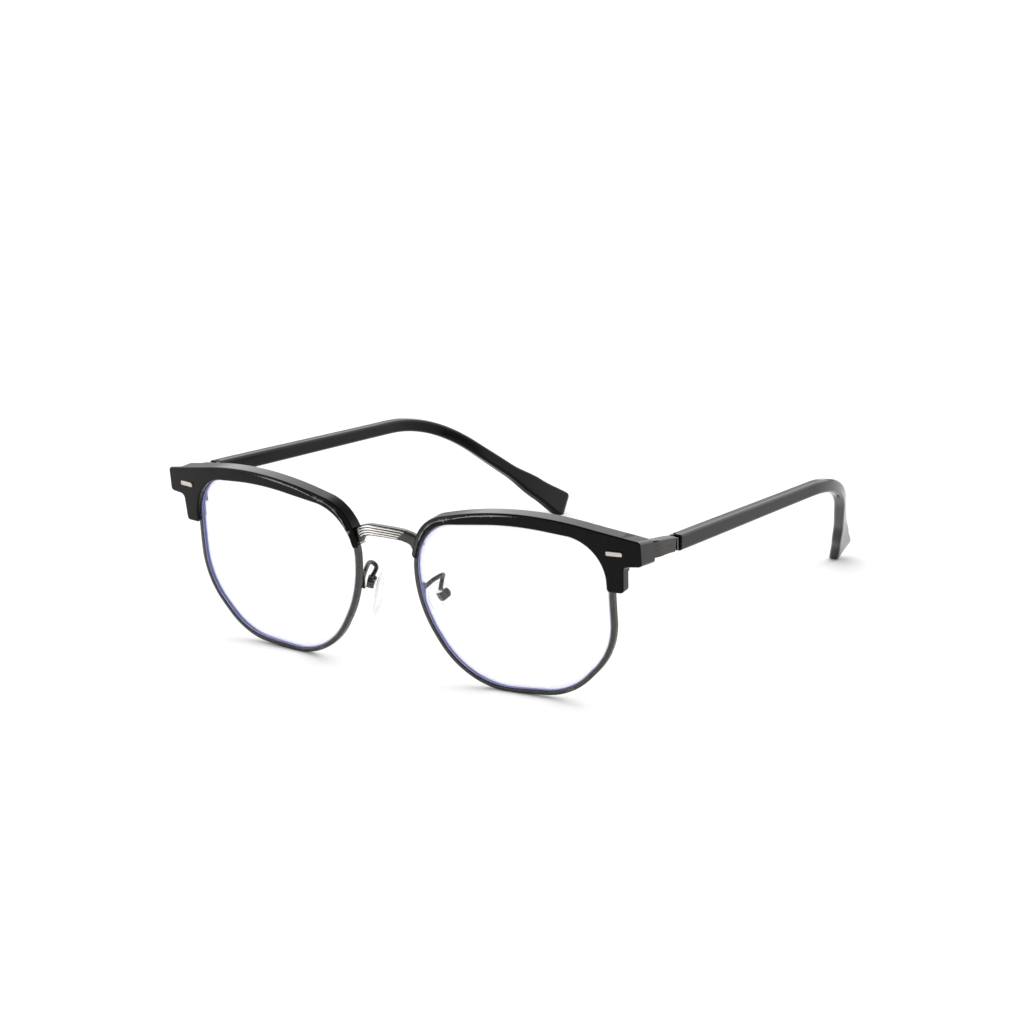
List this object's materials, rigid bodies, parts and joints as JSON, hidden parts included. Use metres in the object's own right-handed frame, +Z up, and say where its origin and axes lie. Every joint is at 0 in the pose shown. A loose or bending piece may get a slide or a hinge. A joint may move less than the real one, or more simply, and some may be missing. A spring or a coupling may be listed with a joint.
{
  "type": "eyeglasses",
  "caption": "Browline eyeglasses with metal rims, acetate brow bars and folding acetate temples, standing open on rims and temple tips",
  "frame": {"origin": "centre of the bounding box in plan, on the table under the rims and temple tips", "axes": "+X towards the wearer's left, -Y the way the wearer looks, +Y back along the open temples, +Z up; rest pose is temples open"},
  "size_m": [0.1452, 0.1466, 0.0467],
  "materials": {
    "acetate": "polished black cellulose acetate",
    "gunmetal": "polished gunmetal plating, dark grey",
    "steel": "plain steel screws, inserts and core wires",
    "champagne": "satin champagne silver",
    "nylon": "natural nylon",
    "silicone": "clear silicone",
    "clear_lens": "clear lens with an anti-reflection coating that shows blue-violet at the edge"
  },
  "bodies": {
    "front": {"bridge": "gunmetal", "left_end_piece": "gunmetal", "left_pad_arm": "gunmetal", "left_pad_box": "gunmetal", "left_pad_screw": "gunmetal", "left_hinge_front_leaf": "gunmetal", "left_hinge_screw": "gunmetal", "left_hinge_washer_lower": "nylon", "left_hinge_washer_upper": "nylon", "left_lens": "clear_lens", "left_rim": "gunmetal", "left_rim_lock_upper": "gunmetal", "left_rim_lock_lower": "gunmetal", "left_rim_lock_screw": "steel", "left_brow": "acetate", "left_brow_plaque": "champagne", "left_brow_tab": "gunmetal", "left_brow_screw": "steel", "right_end_piece": "gunmetal", "right_pad_arm": "gunmetal", "right_pad_box": "gunmetal", "right_pad_screw": "gunmetal", "right_hinge_front_leaf": "gunmetal", "right_hinge_screw": "gunmetal", "right_hinge_washer_lower": "nylon", "right_hinge_washer_upper": "nylon", "right_lens": "clear_lens", "right_rim": "gunmetal", "right_rim_lock_upper": "gunmetal", "right_rim_lock_lower": "gunmetal", "right_rim_lock_screw": "steel", "right_brow": "acetate", "right_brow_plaque": "champagne", "right_brow_tab": "gunmetal", "right_brow_screw": "steel"},
    "left_temple_body": {"left_temple": "acetate", "left_temple_core_wire": "steel", "left_hinge_rear_leaf": "gunmetal"},
    "right_temple_body": {"right_temple": "acetate", "right_temple_core_wire": "steel", "right_hinge_rear_leaf": "gunmetal"},
    "left_pad_body": {"left_nose_pad": "silicone", "left_pad_insert": "silicone"},
    "right_pad_body": {"right_nose_pad": "silicone", "right_pad_insert": "silicone"}
  },
  "joints": [
    {"name": "left_temple_hinge", "type": "hinge", "parent": "front", "child": "left_temple_body", "pos_m": [0.06975, -0.05059, 0.03855], "axis": [0, 0, 1], "range_deg": [0, 84]},
    {"name": "right_temple_hinge", "type": "hinge", "parent": "front", "child": "right_temple_body", "pos_m": [-0.06975, -0.05059, 0.03855], "axis": [0, 0, -1], "range_deg": [0, 78]},
    {"name": "left_pad_rock", "type": "hinge", "parent": "front", "child": "left_pad_body", "pos_m": [0.011, -0.06347, 0.02007], "axis": [-0.3448, -0.823, -0.4515], "range_deg": [-8, 8]},
    {"name": "right_pad_rock", "type": "hinge", "parent": "front", "child": "right_pad_body", "pos_m": [-0.011, -0.06347, 0.02007], "axis": [-0.3448, 0.823, 0.4515], "range_deg": [-8, 8]}
  ]
}
